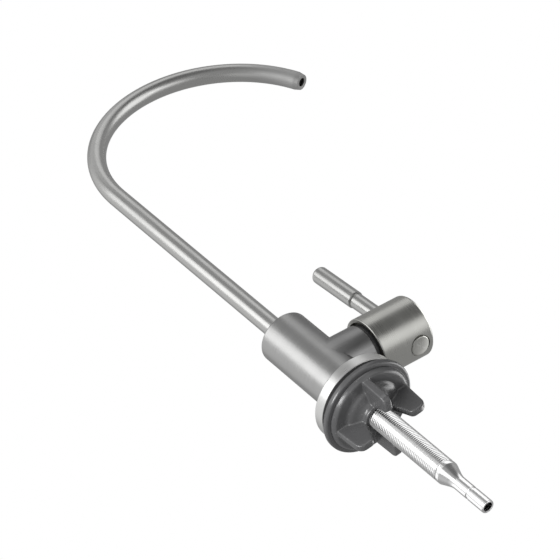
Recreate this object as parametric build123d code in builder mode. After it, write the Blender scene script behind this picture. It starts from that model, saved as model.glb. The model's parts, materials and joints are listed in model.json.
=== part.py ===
"""Reverse osmosis faucet: a swivelling gooseneck spout on a T-shaped body with a
quarter-turn handle on its branch, held on a deck by a threaded shank and a wing nut.

Millimetres. The origin is on the shank's axis in the plane of the deck, where the
base gasket rests. +Z points up, +X along the branch and the spout's reach.
Everything is shown at rest: valve closed, wing nut run up against the gasket.
"""
import os
from math import cos, radians, sin

from build123d import *

os.makedirs("parts", exist_ok=True)

# Fits and clearances
running_gap = 0.05
hand_gap = 0.35
braze_gap = 0.02

# Deck stack, read upwards from the deck
gasket_height = 2.85
base_height = 5.75
base_radius = 21.5
base_top = gasket_height + base_height

# Body and branch
body_radius = 12.8
body_top = 60.8
branch_z = 29.3
branch_radius = 12.6
branch_end = 21.2
foot_radius = 9.5
foot_bottom = 4.2
inlet_radius = 3.0
seat_port_radius = 2.6
seat_x = 5.0
chamber_radius = 8.6
chamber_end = 15.4
branch_bore_radius = 10.0
outlet_drill_x = 5.9
outlet_drill_radius = 2.4

# Spout and its socket in the body
tube_radius = 4.76
tube_wall = 0.9
bend_radius = 65.4
bend_start_z = 198.8
bend_angle = 161.4
tip_taper_length = 3.0
tip_taper_depth = 0.75
socket_radius = 7.0
socket_floor = 43.0
gland_seat = 56.0
gland_radius = 8.2
gland_top = 61.8
ring_section = 1.6
ferrule_top = 54.9

# Threaded shank and its quarter-inch tail (7/16-24 thread, major diameter)
inch = 25.4
thread_radius = inch * 7 / 16 / 2
thread_end = -54.4
groove_width = 0.9
groove_depth = 0.7
land_end = -56.9
cone_end = -64.0
tail_radius = inch / 4 / 2
tail_end = -83.4
tail_groove_z = -72.8
shank_bore_radius = 2.2
shank_top = 16.0
shank_seal_height = 1.5

# Clamp washer and wing nut below the deck
washer_radius = 23.3
washer_height = 2.5
nut_top = -washer_height
flange_radius = 20.6
flange_height = 2.6
wing_count = 4
wing_azimuth = -8.5
wing_thickness = 3.7
wing_bottom = -20.2
wing_root_radius = 19.4
wing_tip_radius = 18.6
wing_corner = 3.0
hub_radius = 13.6
hub_end_radius = 8.0
hub_bottom = -10.5

# Handle: everything that turns about the branch is drawn on leaned planes
handle_lean = 4.3
cap_inner_x = 22.9
cap_outer_x = 50.3
cap_radius = 14.84
cap_bore_radius = 13.2
cap_bore_end = 29.0
lever_x = 42.3
lever_end = 62.9
lever_step = 33.3
grip_radius = 4.25
neck_radius = 3.8
stud_radius = 2.5
plug_radius = 4.84
plug_proud = 0.35

# Ceramic cartridge in the branch
disc_radius = 6.4
fixed_disc_x = 6.6
moving_disc_x = 9.0
cavity_x = 11.2
cavity_end = 13.4
hex_x = branch_end
hex_end = 24.2
neck_end = 27.2
spindle_radius = 3.95
spline_radius = 3.4
spindle_end = 45.5
flat_depth = 0.5
flat_start_x = 36.0
window_start_x = 10.0
window_width = 6.0
hex_across_half = 9.6
glide_clearance = 1.1
stop_lug_half_angle = 14.0
handle_travel = 90.0

lean_y = Vector(0, cos(radians(handle_lean)), -sin(radians(handle_lean)))
lean_z = Vector(0, sin(radians(handle_lean)), cos(radians(handle_lean)))


def branch_plane(x):
    """Plane across the branch at x: local x is +Y and local y is +Z."""
    return Plane(origin=(x, 0, branch_z), x_dir=(0, 1, 0), z_dir=(1, 0, 0))


def turn_plane(x):
    """The same plane turned with the handle's lean."""
    return Plane(origin=(x, 0, branch_z), x_dir=lean_y, z_dir=(1, 0, 0))


def lever_plane(distance):
    """Plane across the lever, at a distance from the branch's axis."""
    origin = Vector(lever_x, 0, branch_z) + lean_z * distance
    return Plane(origin=origin, x_dir=(1, 0, 0), z_dir=lean_z)


shaft_profile = Plane(origin=(0, 0, 0), x_dir=(1, 0, 0), z_dir=(0, -1, 0))
branch_profile = Plane(origin=(0, 0, branch_z), x_dir=(1, 0, 0), z_dir=(0, -1, 0))
branch_axis = Axis((0, 0, branch_z), (1, 0, 0))
lean_profile = Plane(origin=(0, 0, branch_z), x_dir=(1, 0, 0), z_dir=-lean_y)
lever_axis = Axis((lever_x, 0, branch_z), lean_z)


# Body: the T with the inlet passage, the cartridge chamber, the outlet drilling
# and the spout's socket bored in it, and a foot that centres the base plate.
with BuildPart() as body:
    with BuildSketch(Plane.XY.offset(base_top)):
        Circle(body_radius)
    extrude(amount=body_top - base_top)
    chamfer(body.faces().sort_by(Axis.Z)[-1].edges(), length=0.6)
    with BuildSketch(Plane.XY.offset(foot_bottom)):
        Circle(foot_radius)
    extrude(amount=base_top - foot_bottom + 1)
    with BuildSketch(branch_plane(0)):
        Circle(branch_radius)
    extrude(amount=branch_end)
    branch_edges = body.faces().sort_by(Axis.X)[-1].edges()
    chamfer(branch_edges, length=0.4)
    with BuildSketch(Plane.XY.offset(foot_bottom)):
        Circle(thread_radius + running_gap)
    extrude(amount=shank_top + shank_seal_height - foot_bottom, mode=Mode.SUBTRACT)
    with BuildSketch(Plane.XY.offset(shank_top)):
        Circle(inlet_radius)
    extrude(amount=branch_z + inlet_radius - shank_top, mode=Mode.SUBTRACT)
    with BuildSketch(branch_plane(0)):
        Circle(seat_port_radius)
    extrude(amount=seat_x + 1, mode=Mode.SUBTRACT)
    with BuildSketch(branch_plane(seat_x)):
        Circle(chamber_radius)
    extrude(amount=branch_end - seat_x + 1, mode=Mode.SUBTRACT)
    with BuildSketch(branch_plane(chamber_end)):
        Circle(branch_bore_radius)
    extrude(amount=branch_end - chamber_end + 1, mode=Mode.SUBTRACT)
    with BuildSketch(Plane.XY.offset(socket_floor)):
        Circle(socket_radius)
    extrude(amount=body_top - socket_floor + 1, mode=Mode.SUBTRACT)
    with BuildSketch(Plane.XY.offset(gland_seat)):
        Circle(gland_radius + running_gap)
    extrude(amount=body_top - gland_seat + 1, mode=Mode.SUBTRACT)
    with BuildSketch(Plane.XY.offset(branch_z + 6.8)):
        with Locations((outlet_drill_x, 0)):
            Circle(outlet_drill_radius)
    extrude(amount=socket_floor - branch_z - 6.8 + 1, mode=Mode.SUBTRACT)
body.part.label = "body"
export_step(body.part, "parts/body.step")


# Base plate: satin ring between the body's shoulder and the gasket, with a groove
# below that keeps the gasket's rib centred.
with BuildPart() as base_plate:
    with BuildSketch(shaft_profile):
        with BuildLine():
            Polyline(
                (foot_radius + running_gap, gasket_height),
                (base_radius, gasket_height),
                (base_radius, base_top),
                (foot_radius + running_gap, base_top),
                close=True,
            )
        make_face()
    revolve(axis=Axis.Z)
    with BuildSketch(Plane.XY.offset(gasket_height)):
        Circle(17.1)
        Circle(15.0, mode=Mode.SUBTRACT)
    extrude(amount=1.2, mode=Mode.SUBTRACT)
    fillet(base_plate.faces().sort_by(Axis.Z)[-1].edges().sort_by(SortBy.RADIUS)[-1], radius=0.9)
base_plate.part.label = "base_plate"
export_step(base_plate.part, "parts/base_plate.step")

with BuildPart() as base_gasket:
    with BuildSketch():
        Circle(base_radius - 0.3)
        Circle(11.0, mode=Mode.SUBTRACT)
    extrude(amount=gasket_height)
    with BuildSketch(Plane.XY.offset(gasket_height)):
        Circle(17.1 - running_gap)
        Circle(15.0 + running_gap, mode=Mode.SUBTRACT)
    extrude(amount=1.0)
    fillet(base_gasket.faces().sort_by(Axis.Z)[0].edges().sort_by(SortBy.RADIUS)[-1], radius=0.5)
base_gasket.part.label = "base_gasket"
export_step(base_gasket.part, "parts/base_gasket.step")


# Shank: thread at its major diameter, run-out groove, cone and grooved tail.
with BuildPart() as shank:
    with BuildSketch(shaft_profile):
        with BuildLine():
            upper = Polyline(
                (shank_bore_radius, tail_end),
                (tail_radius - 0.4, tail_end),
                (tail_radius, tail_end + 0.5),
                (tail_radius, tail_groove_z - 0.8),
                (tail_radius - 0.35, tail_groove_z - 0.4),
                (tail_radius - 0.35, tail_groove_z + 0.4),
                (tail_radius, tail_groove_z + 0.8),
                (tail_radius, cone_end),
            )
            Spline(
                upper @ 1,
                (thread_radius, land_end),
                tangents=((0, 1), (0.62, 1)),
            )
            Polyline(
                (thread_radius, land_end),
                (thread_radius, thread_end - groove_width),
                (thread_radius - groove_depth, thread_end - groove_width),
                (thread_radius - groove_depth, thread_end),
                (thread_radius - 0.3, thread_end),
                (thread_radius, thread_end + 0.4),
                (thread_radius, shank_top - 0.6),
                (thread_radius - 0.6, shank_top),
                (shank_bore_radius, shank_top),
                (shank_bore_radius, tail_end),
            )
        make_face()
    revolve(axis=Axis.Z)
shank.part.label = "shank"
export_step(shank.part, "parts/shank.step")

with BuildPart() as shank_seal:
    with BuildSketch(Plane.XY.offset(shank_top)):
        Circle(thread_radius - 0.1)
        Circle(inlet_radius + 0.2, mode=Mode.SUBTRACT)
    extrude(amount=shank_seal_height)
shank_seal.part.label = "shank_seal"
export_step(shank_seal.part, "parts/shank_seal.step")


# Clamp washer: runs loose on the shank below the deck.
with BuildPart() as clamp_washer:
    with BuildSketch(Plane.XY.offset(-washer_height)):
        Circle(washer_radius)
        Circle(thread_radius + hand_gap, mode=Mode.SUBTRACT)
    extrude(amount=washer_height)
    rims = clamp_washer.edges().filter_by(GeomType.CIRCLE).group_by(SortBy.RADIUS)[-1]
    fillet(rims, radius=0.6)
clamp_washer.part.label = "clamp_washer"
export_step(clamp_washer.part, "parts/clamp_washer.step")


# Wing nut: the piece that takes the most skill. A rimmed flange, a stepped conical
# hub and four moulded wings that leave the shank free below the hub, slope outwards
# on the inside and end in rounded finger tabs.
with BuildPart() as wing_nut:
    with BuildSketch(shaft_profile):
        with BuildLine():
            Polyline(
                (0, nut_top),
                (flange_radius, nut_top),
                (flange_radius, nut_top - flange_height),
                (flange_radius - 1.6, nut_top - flange_height),
                (flange_radius - 2.0, nut_top - flange_height + 0.5),
                (hub_radius + 0.6, nut_top - flange_height + 0.5),
                (hub_radius, nut_top - flange_height),
                (hub_radius - 1.2, nut_top - flange_height - 1.2),
                (hub_end_radius + 1.6, nut_top - flange_height - 2.2),
                (hub_end_radius, nut_top - flange_height - 3.4),
                (hub_end_radius, hub_bottom),
                (0, hub_bottom),
                close=True,
            )
        make_face()
    revolve(axis=Axis.Z)
    for wing in range(wing_count):
        azimuth = wing_azimuth + wing * 360 / wing_count
        outward = Vector(cos(radians(azimuth)), sin(radians(azimuth)), 0)
        wing_plane = Plane(origin=(0, 0, 0), x_dir=outward, z_dir=outward.rotate(Axis.Z, -90))
        corner_start = (wing_tip_radius, wing_bottom + wing_corner)
        corner_middle = (wing_tip_radius - 0.27 * wing_corner, wing_bottom + 0.27 * wing_corner)
        corner_end = (wing_tip_radius - wing_corner, wing_bottom)
        with BuildSketch(wing_plane):
            with BuildLine():
                Polyline(
                    (4.0, nut_top - 1.0),
                    (wing_root_radius, nut_top - 1.0),
                    (wing_root_radius, nut_top - flange_height),
                    corner_start,
                )
                ThreePointArc(corner_start, corner_middle, corner_end)
                Line(corner_end, (12.6, wing_bottom))
                ThreePointArc((12.6, wing_bottom), (11.3, wing_bottom + 0.4), (10.5, wing_bottom + 1.5))
                Polyline(
                    (10.5, wing_bottom + 1.5),
                    (hub_end_radius + 1.0, wing_bottom + 4.7),
                    (hub_end_radius - 0.4, hub_bottom - 1.4),
                    (hub_end_radius - 0.4, hub_bottom + 0.3),
                    (4.0, hub_bottom + 0.3),
                    (4.0, nut_top - 1.0),
                )
            make_face()
        extrude(amount=wing_thickness / 2, both=True)
    with BuildSketch(Plane.XY.offset(nut_top)):
        Circle(thread_radius + running_gap)
    extrude(amount=-30, mode=Mode.SUBTRACT)
wing_nut.part.label = "wing_nut"
export_step(wing_nut.part, "parts/wing_nut.step")


# Spout: one bent tube, straight up, over the bend and drawn in at the tip.
spout_foot = socket_floor + 1.6
bend_centre = Vector(bend_radius, 0, bend_start_z)
tip_angle = radians(180 - bend_angle)
tip_direction = Vector(sin(tip_angle), 0, -cos(tip_angle))
tip_outward = Vector(cos(tip_angle), 0, sin(tip_angle))
tip_point = bend_centre + tip_outward * bend_radius
with BuildPart() as spout:
    with BuildLine(shaft_profile) as spout_path:
        Line((0, spout_foot), (0, bend_start_z))
        CenterArc((bend_radius, bend_start_z), bend_radius, 180, -bend_angle)
    with BuildSketch(Plane.XY.offset(spout_foot)):
        Circle(tube_radius)
        Circle(tube_radius - tube_wall, mode=Mode.SUBTRACT)
    sweep(path=spout_path.wires()[0])
    with BuildSketch(Plane(origin=tip_point, x_dir=tip_outward, z_dir=(0, -1, 0))):
        Polygon(
            (tube_radius - tip_taper_depth, 0),
            (tube_radius + 1, 0),
            (tube_radius + 1, tip_taper_length + 0.2),
            (tube_radius + 0.05, tip_taper_length + 0.2),
            align=None,
        )
    revolve(axis=Axis(tip_point, tip_direction), mode=Mode.SUBTRACT)
spout.part.label = "spout"
export_step(spout.part, "parts/spout.step")


# Ferrule: brazed on the tube's foot, turns in the socket on its two O-rings.
lower_ring_z = 46.6
upper_ring_z = 50.8
ring_centre_radius = socket_radius - 0.02 - ring_section / 2
ring_floor = ring_centre_radius - ring_section / 2 - 0.02
with BuildPart() as spout_ferrule:
    with BuildSketch(shaft_profile):
        with BuildLine():
            Polyline(
                (tube_radius - tube_wall + 0.1, socket_floor + 0.4),
                (socket_radius - 0.75, socket_floor + 0.4),
                (socket_radius - running_gap, socket_floor + 1.1),
                (socket_radius - running_gap, ferrule_top),
                (tube_radius + braze_gap, ferrule_top),
                (tube_radius + braze_gap, spout_foot),
                (tube_radius - tube_wall + 0.1, spout_foot),
                close=True,
            )
        make_face()
        for groove_z in (lower_ring_z, upper_ring_z):
            with Locations(((ring_floor + socket_radius + 1) / 2, groove_z)):
                Rectangle(socket_radius + 1 - ring_floor, ring_section + 0.3, mode=Mode.SUBTRACT)
    revolve(axis=Axis.Z)
spout_ferrule.part.label = "spout_ferrule"
export_step(spout_ferrule.part, "parts/spout_ferrule.step")

with BuildPart() as spout_ring_lower:
    with BuildSketch(shaft_profile):
        with Locations((ring_centre_radius, lower_ring_z)):
            Circle(ring_section / 2)
    revolve(axis=Axis.Z)
spout_ring_lower.part.label = "spout_ring_lower"
export_step(spout_ring_lower.part, "parts/spout_ring_lower.step")

with BuildPart() as spout_ring_upper:
    with BuildSketch(shaft_profile):
        with Locations((ring_centre_radius, upper_ring_z)):
            Circle(ring_section / 2)
    revolve(axis=Axis.Z)
spout_ring_upper.part.label = "spout_ring_upper"
export_step(spout_ring_upper.part, "parts/spout_ring_upper.step")

with BuildPart() as spout_washer:
    with BuildSketch(Plane.XY.offset(ferrule_top)):
        Circle(socket_radius - running_gap)
        Circle(tube_radius + running_gap, mode=Mode.SUBTRACT)
    extrude(amount=gland_seat - ferrule_top)
spout_washer.part.label = "spout_washer"
export_step(spout_washer.part, "parts/spout_washer.step")

# Gland: threaded ring that keeps the ferrule in, with two slots for a pin spanner.
with BuildPart() as spout_gland:
    with BuildSketch(Plane.XY.offset(gland_seat)):
        Circle(gland_radius)
        Circle(tube_radius + 0.1, mode=Mode.SUBTRACT)
    extrude(amount=gland_top - gland_seat)
    gland_rim = spout_gland.faces().sort_by(Axis.Z)[-1].edges().sort_by(SortBy.RADIUS)[-1]
    chamfer(gland_rim, length=0.7)
    with BuildSketch(Plane.XY.offset(gland_top - 0.9)):
        with Locations((0, gland_radius), (0, -gland_radius)):
            Rectangle(1.6, 4.4)
    extrude(amount=2, mode=Mode.SUBTRACT)
spout_gland.part.label = "spout_gland"
export_step(spout_gland.part, "parts/spout_gland.step")


# Cartridge: brass body that screws into the branch, windows beside the discs, an
# O-ring land, the threaded collar, a hexagon and the neck with its stop window.
cartridge_mouth = seat_x + 0.2
cartridge_skirt = 7.4
land_radius = chamber_radius - running_gap
with BuildPart() as cartridge_body:
    with BuildSketch(branch_profile):
        with BuildLine():
            Polyline(
                (cartridge_mouth, disc_radius + 0.05),
                (cartridge_mouth, cartridge_skirt),
                (cavity_end - 0.4, cartridge_skirt),
                (cavity_end - 0.4, land_radius),
                (chamber_end, land_radius),
                (chamber_end, branch_bore_radius - running_gap),
                (hex_x, branch_bore_radius - running_gap),
                (hex_x, 7.0),
                (neck_end, 7.0),
                (neck_end, spindle_radius + running_gap),
                (cavity_end, spindle_radius + running_gap),
                (cavity_end, disc_radius + 0.05),
                close=True,
            )
        make_face()
        with Locations(((cavity_end - 0.4 + chamber_end) / 2, land_radius)):
            Rectangle(1.5, 2.2, mode=Mode.SUBTRACT)
    revolve(axis=branch_axis)
    with BuildSketch(branch_plane(hex_x)):
        RegularPolygon(radius=hex_across_half, side_count=6, major_radius=False)
        Circle(6.0, mode=Mode.SUBTRACT)
    extrude(amount=hex_end - hex_x)
    with BuildSketch(branch_plane(hex_end + 0.6)):
        Circle(7.5)
        Circle(5.3)
    extrude(amount=neck_end - hex_end, mode=Mode.SUBTRACT)
    with BuildSketch(turn_plane(hex_end + 0.6)):
        stop_half = handle_travel + 2 * stop_lug_half_angle + 2
        with BuildLine():
            stop_start = 90 - stop_lug_half_angle - handle_travel - 1
            neck_outer = CenterArc((0, 0), 7.0, stop_start + stop_half, 360 - stop_half)
            neck_inner = CenterArc((0, 0), 5.3, stop_start + stop_half, 360 - stop_half)
            Line(neck_outer @ 0, neck_inner @ 0)
            Line(neck_outer @ 1, neck_inner @ 1)
        make_face()
    extrude(amount=neck_end - hex_end - 0.6)
    with BuildSketch(Plane.XY.offset(branch_z - 10)):
        with Locations(((window_start_x + cavity_end - 0.4) / 2, 0)):
            Rectangle(cavity_end - 0.4 - window_start_x, window_width)
    extrude(amount=20, mode=Mode.SUBTRACT)
cartridge_body.part.label = "cartridge_body"
export_step(cartridge_body.part, "parts/cartridge_body.step")

with BuildPart() as cartridge_ring:
    with BuildSketch(branch_profile):
        with Locations(((cavity_end - 0.4 + chamber_end) / 2, chamber_radius - 0.02 - 0.55)):
            Circle(0.55)
    revolve(axis=branch_axis)
cartridge_ring.part.label = "cartridge_ring"
export_step(cartridge_ring.part, "parts/cartridge_ring.step")

with BuildPart() as seat_seal:
    with BuildSketch(branch_plane(seat_x)):
        Circle(disc_radius)
        Circle(inlet_radius + 0.4, mode=Mode.SUBTRACT)
    extrude(amount=fixed_disc_x - seat_x)
seat_seal.part.label = "seat_seal"
export_step(seat_seal.part, "parts/seat_seal.step")

# Ceramic discs: two opposite ports each; a quarter turn brings them in line.
with BuildPart() as fixed_disc:
    with BuildSketch(branch_plane(fixed_disc_x)):
        Circle(disc_radius)
        with Locations((0, 2.0), (0, -2.0)):
            Circle(1.3, mode=Mode.SUBTRACT)
    extrude(amount=moving_disc_x - fixed_disc_x)
fixed_disc.part.label = "fixed_disc"
export_step(fixed_disc.part, "parts/fixed_disc.step")

with BuildPart() as moving_disc:
    with BuildSketch(turn_plane(moving_disc_x)):
        Circle(disc_radius)
        with Locations((2.2, 0), (-2.2, 0)):
            Circle(1.3, mode=Mode.SUBTRACT)
    extrude(amount=cavity_x - moving_disc_x)
    with BuildSketch(turn_plane(cavity_x - 1.0)):
        Rectangle(2.0 + 2 * running_gap, 2 * disc_radius + 1)
    extrude(amount=2, mode=Mode.SUBTRACT)
moving_disc.part.label = "moving_disc"
export_step(moving_disc.part, "parts/moving_disc.step")

# Spindle: tang in the moving disc, O-ring groove, stop lug and the driven end with
# a flat for the grub screw.
spindle_ring_x = 17.4
stem_ring_section = 1.1
stem_ring_radius = spindle_radius + running_gap - 0.02 - stem_ring_section / 2
with BuildPart() as spindle:
    with BuildSketch(lean_profile):
        with BuildLine():
            Polyline(
                (cavity_x, 0),
                (cavity_x, 5.8),
                (cavity_end - 0.05, 5.8),
                (cavity_end - 0.05, spindle_radius),
                (spindle_ring_x - 0.7, spindle_radius),
                (spindle_ring_x - 0.7, stem_ring_radius - stem_ring_section / 2 - 0.02),
                (spindle_ring_x + 0.7, stem_ring_radius - stem_ring_section / 2 - 0.02),
                (spindle_ring_x + 0.7, spindle_radius),
                (neck_end + 0.4, spindle_radius),
                (neck_end + 0.4, spline_radius),
                (spindle_end - 0.4, spline_radius),
                (spindle_end, spline_radius - 0.4),
                (spindle_end, 0),
                close=True,
            )
        make_face()
    revolve(axis=branch_axis)
    with BuildSketch(turn_plane(cavity_x - 1.0 + running_gap)):
        Rectangle(2.0, 11.0)
    extrude(amount=1.2)
    with BuildSketch(turn_plane(hex_end + 0.9)):
        with BuildLine():
            lug_start = 90 - stop_lug_half_angle
            lug_arc = CenterArc((0, 0), 6.6, lug_start, 2 * stop_lug_half_angle)
            Polyline(lug_arc @ 1, (0, 0), lug_arc @ 0)
        make_face()
    extrude(amount=neck_end - hex_end - 1.0)
    with BuildSketch(turn_plane(flat_start_x)):
        with Locations((0, -spline_radius)):
            Rectangle(2 * spline_radius, 2 * flat_depth)
    extrude(amount=spindle_end - flat_start_x + 1, mode=Mode.SUBTRACT)
spindle.part.label = "spindle"
export_step(spindle.part, "parts/spindle.step")

with BuildPart() as spindle_ring:
    with BuildSketch(lean_profile):
        with Locations((spindle_ring_x, stem_ring_radius)):
            Circle(stem_ring_section / 2)
    revolve(axis=branch_axis)
spindle_ring.part.label = "spindle_ring"
export_step(spindle_ring.part, "parts/spindle_ring.step")

# Glide ring: black ring on the branch's end that centres the cap's mouth.
with BuildPart() as glide_ring:
    with BuildSketch(branch_plane(hex_x)):
        Circle(cap_bore_radius - glide_clearance)
        RegularPolygon(
            radius=hex_across_half + running_gap, side_count=6, major_radius=False, mode=Mode.SUBTRACT
        )
    extrude(amount=2.4)
glide_ring.part.label = "glide_ring"
export_step(glide_ring.part, "parts/glide_ring.step")


# Handle cap: turned from bar, hollow over the cartridge, bored for the spindle and
# cross-drilled for the lever above and the grub screw and its plug below.
plug_seat = 11.2
with BuildPart() as handle_cap:
    with BuildSketch(turn_plane(cap_inner_x)):
        Circle(cap_radius)
    extrude(amount=cap_outer_x - cap_inner_x)
    outer_rim = handle_cap.faces().sort_by(Axis.X)[-1].edges()
    fillet(outer_rim, radius=1.8)
    inner_rim = handle_cap.faces().sort_by(Axis.X)[0].edges()
    chamfer(inner_rim, length=0.35)
    with BuildSketch(turn_plane(cap_inner_x)):
        Circle(cap_bore_radius)
    extrude(amount=cap_bore_end - cap_inner_x, mode=Mode.SUBTRACT)
    with BuildSketch(turn_plane(cap_inner_x)):
        Circle(spline_radius + running_gap)
    extrude(amount=spindle_end + 0.5 - cap_inner_x, mode=Mode.SUBTRACT)
    with BuildSketch(lever_plane(5.0)):
        Circle(stud_radius + running_gap)
    extrude(amount=cap_radius, mode=Mode.SUBTRACT)
    with BuildSketch(lever_plane(cap_radius - 3.0)):
        Circle(neck_radius + running_gap)
    extrude(amount=cap_radius, mode=Mode.SUBTRACT)
    with BuildSketch(lever_plane(-cap_radius)):
        Circle(stud_radius + running_gap)
    extrude(amount=cap_radius - 1.0, mode=Mode.SUBTRACT)
    with BuildSketch(lever_plane(-plug_seat)):
        Circle(plug_radius + running_gap)
    extrude(amount=-cap_radius, mode=Mode.SUBTRACT)
handle_cap.part.label = "handle_cap"
export_step(handle_cap.part, "parts/handle_cap.step")

with BuildPart() as lever_rod:
    lever_profile = Plane(origin=(lever_x, 0, branch_z), x_dir=(1, 0, 0), z_dir=-lean_y)
    with BuildSketch(lever_profile):
        with BuildLine():
            Polyline(
                (0, 5.4),
                (stud_radius - 0.4, 5.4),
                (stud_radius, 5.8),
                (stud_radius, cap_radius - 3.0),
                (neck_radius, cap_radius - 3.0),
                (neck_radius, lever_step - 0.8),
                (neck_radius - 0.35, lever_step - 0.5),
                (neck_radius - 0.35, lever_step),
                (grip_radius - 0.35, lever_step),
                (grip_radius, lever_step + 0.6),
                (grip_radius, lever_end - 1.3),
                (grip_radius - 1.1, lever_end),
                (0, lever_end),
                close=True,
            )
        make_face()
    revolve(axis=lever_axis)
lever_rod.part.label = "lever_rod"
export_step(lever_rod.part, "parts/lever_rod.step")

# Grub screw: its point rests on the spindle's flat; hexagon socket underneath.
screw_tip = spline_radius - flat_depth
screw_length = 6.0
with BuildPart() as grub_screw:
    with BuildSketch(lever_plane(-screw_tip)):
        Circle(stud_radius)
    extrude(amount=-screw_length)
    chamfer(grub_screw.edges().filter_by(GeomType.CIRCLE), length=0.35)
    with BuildSketch(lever_plane(-screw_tip - screw_length)):
        RegularPolygon(radius=1.25, side_count=6, major_radius=False)
    extrude(amount=2.6, mode=Mode.SUBTRACT)
grub_screw.part.label = "grub_screw"
export_step(grub_screw.part, "parts/grub_screw.step")

with BuildPart() as cap_plug:
    with BuildSketch(lever_plane(-plug_seat)):
        Circle(plug_radius)
    extrude(amount=-(cap_radius + plug_proud - plug_seat))
    plug_face = cap_plug.faces().sort_by(Axis.Z)[0]
    fillet(plug_face.edges(), radius=0.6)
cap_plug.part.label = "cap_plug"
export_step(cap_plug.part, "parts/cap_plug.step")
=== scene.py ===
import json
import math

import bmesh
import bpy
from mathutils import Matrix, Vector


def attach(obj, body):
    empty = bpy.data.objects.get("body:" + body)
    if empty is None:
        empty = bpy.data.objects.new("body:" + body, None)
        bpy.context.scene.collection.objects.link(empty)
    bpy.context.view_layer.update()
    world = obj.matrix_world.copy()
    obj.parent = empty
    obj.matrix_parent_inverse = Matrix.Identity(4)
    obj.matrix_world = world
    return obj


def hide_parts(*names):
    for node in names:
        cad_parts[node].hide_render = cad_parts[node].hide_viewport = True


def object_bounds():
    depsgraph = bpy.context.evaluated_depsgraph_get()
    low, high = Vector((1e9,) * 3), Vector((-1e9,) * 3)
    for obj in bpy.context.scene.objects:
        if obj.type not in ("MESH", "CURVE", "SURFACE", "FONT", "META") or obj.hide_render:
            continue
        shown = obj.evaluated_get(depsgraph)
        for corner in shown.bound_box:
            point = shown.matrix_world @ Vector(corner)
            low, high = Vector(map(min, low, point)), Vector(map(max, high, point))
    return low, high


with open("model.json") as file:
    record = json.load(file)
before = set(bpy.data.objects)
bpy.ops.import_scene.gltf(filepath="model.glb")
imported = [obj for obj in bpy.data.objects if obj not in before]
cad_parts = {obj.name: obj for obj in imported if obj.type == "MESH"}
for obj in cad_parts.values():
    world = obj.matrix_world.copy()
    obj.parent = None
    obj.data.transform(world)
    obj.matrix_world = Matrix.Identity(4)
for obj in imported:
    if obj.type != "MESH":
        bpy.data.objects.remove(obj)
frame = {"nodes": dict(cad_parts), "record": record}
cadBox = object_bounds()
mm = 0.001
print("frame loaded:", len(frame["nodes"]), "nodes")


# Shader node groups that several finishes share

def newGroup(name, inputs, outputs):
    group = bpy.data.node_groups.new(name, "ShaderNodeTree")
    for label, kind, value in inputs:
        item = group.interface.new_socket(name=label, in_out="INPUT", socket_type=kind)
        if value is not None:
            item.default_value = value
    for label, kind in outputs:
        group.interface.new_socket(name=label, in_out="OUTPUT", socket_type=kind)
    start = group.nodes.new("NodeGroupInput")
    end = group.nodes.new("NodeGroupOutput")
    return group, start, end


def mathNode(nodes, links, operation, first, second):
    node = nodes.new("ShaderNodeMath")
    node.operation = operation
    for socket, value in ((node.inputs[0], first), (node.inputs[1], second)):
        if isinstance(value, (int, float)):
            socket.default_value = value
        else:
            links.new(value, socket)
    return node.outputs[0]


def makePolishLines():
    # hairlines left by the polishing belt; Stretch is largest along the way they are narrow
    group, start, end = newGroup(
        "polishLines",
        [("Vector", "NodeSocketVector", None), ("Stretch", "NodeSocketVector", (1.0, 1.0, 40.0)),
         ("Scale", "NodeSocketFloat", 60.0)],
        [("Lines", "NodeSocketFloat"), ("Patches", "NodeSocketFloat")])
    nodes, links = group.nodes, group.links
    stretch = nodes.new("ShaderNodeVectorMath")
    stretch.operation = "MULTIPLY"
    links.new(start.outputs["Vector"], stretch.inputs[0])
    links.new(start.outputs["Stretch"], stretch.inputs[1])
    hairs = nodes.new("ShaderNodeTexNoise")
    hairs.inputs["Detail"].default_value = 3.0
    hairs.inputs["Roughness"].default_value = 0.65
    links.new(stretch.outputs[0], hairs.inputs["Vector"])
    links.new(start.outputs["Scale"], hairs.inputs["Scale"])
    patches = nodes.new("ShaderNodeTexNoise")
    patches.inputs["Scale"].default_value = 90.0
    patches.inputs["Detail"].default_value = 4.0
    links.new(start.outputs["Vector"], patches.inputs["Vector"])
    links.new(hairs.outputs[0], end.inputs["Lines"])
    links.new(patches.outputs[0], end.inputs["Patches"])
    return group


def makeEdgeWearAndHighlight():
    # bright on outer edges, broken up by noise so that it isn't an even line; wear on the metals, and on
    # the black plastic partly a painted highlight as well
    group, start, end = newGroup(
        "edgeWearAndHighlight",
        [("Vector", "NodeSocketVector", None), ("From", "NodeSocketFloat", 0.52),
         ("To", "NodeSocketFloat", 0.6)],
        [("Edge", "NodeSocketFloat")])
    nodes, links = group.nodes, group.links
    geometry = nodes.new("ShaderNodeNewGeometry")
    spread = nodes.new("ShaderNodeMapRange")
    links.new(geometry.outputs["Pointiness"], spread.inputs["Value"])
    links.new(start.outputs["From"], spread.inputs["From Min"])
    links.new(start.outputs["To"], spread.inputs["From Max"])
    broken = nodes.new("ShaderNodeTexNoise")
    broken.inputs["Scale"].default_value = 420.0
    broken.inputs["Detail"].default_value = 2.0
    links.new(start.outputs["Vector"], broken.inputs["Vector"])
    edge = mathNode(nodes, links, "MULTIPLY", spread.outputs["Result"], broken.outputs[0])
    links.new(edge, end.inputs["Edge"])
    return group


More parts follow.
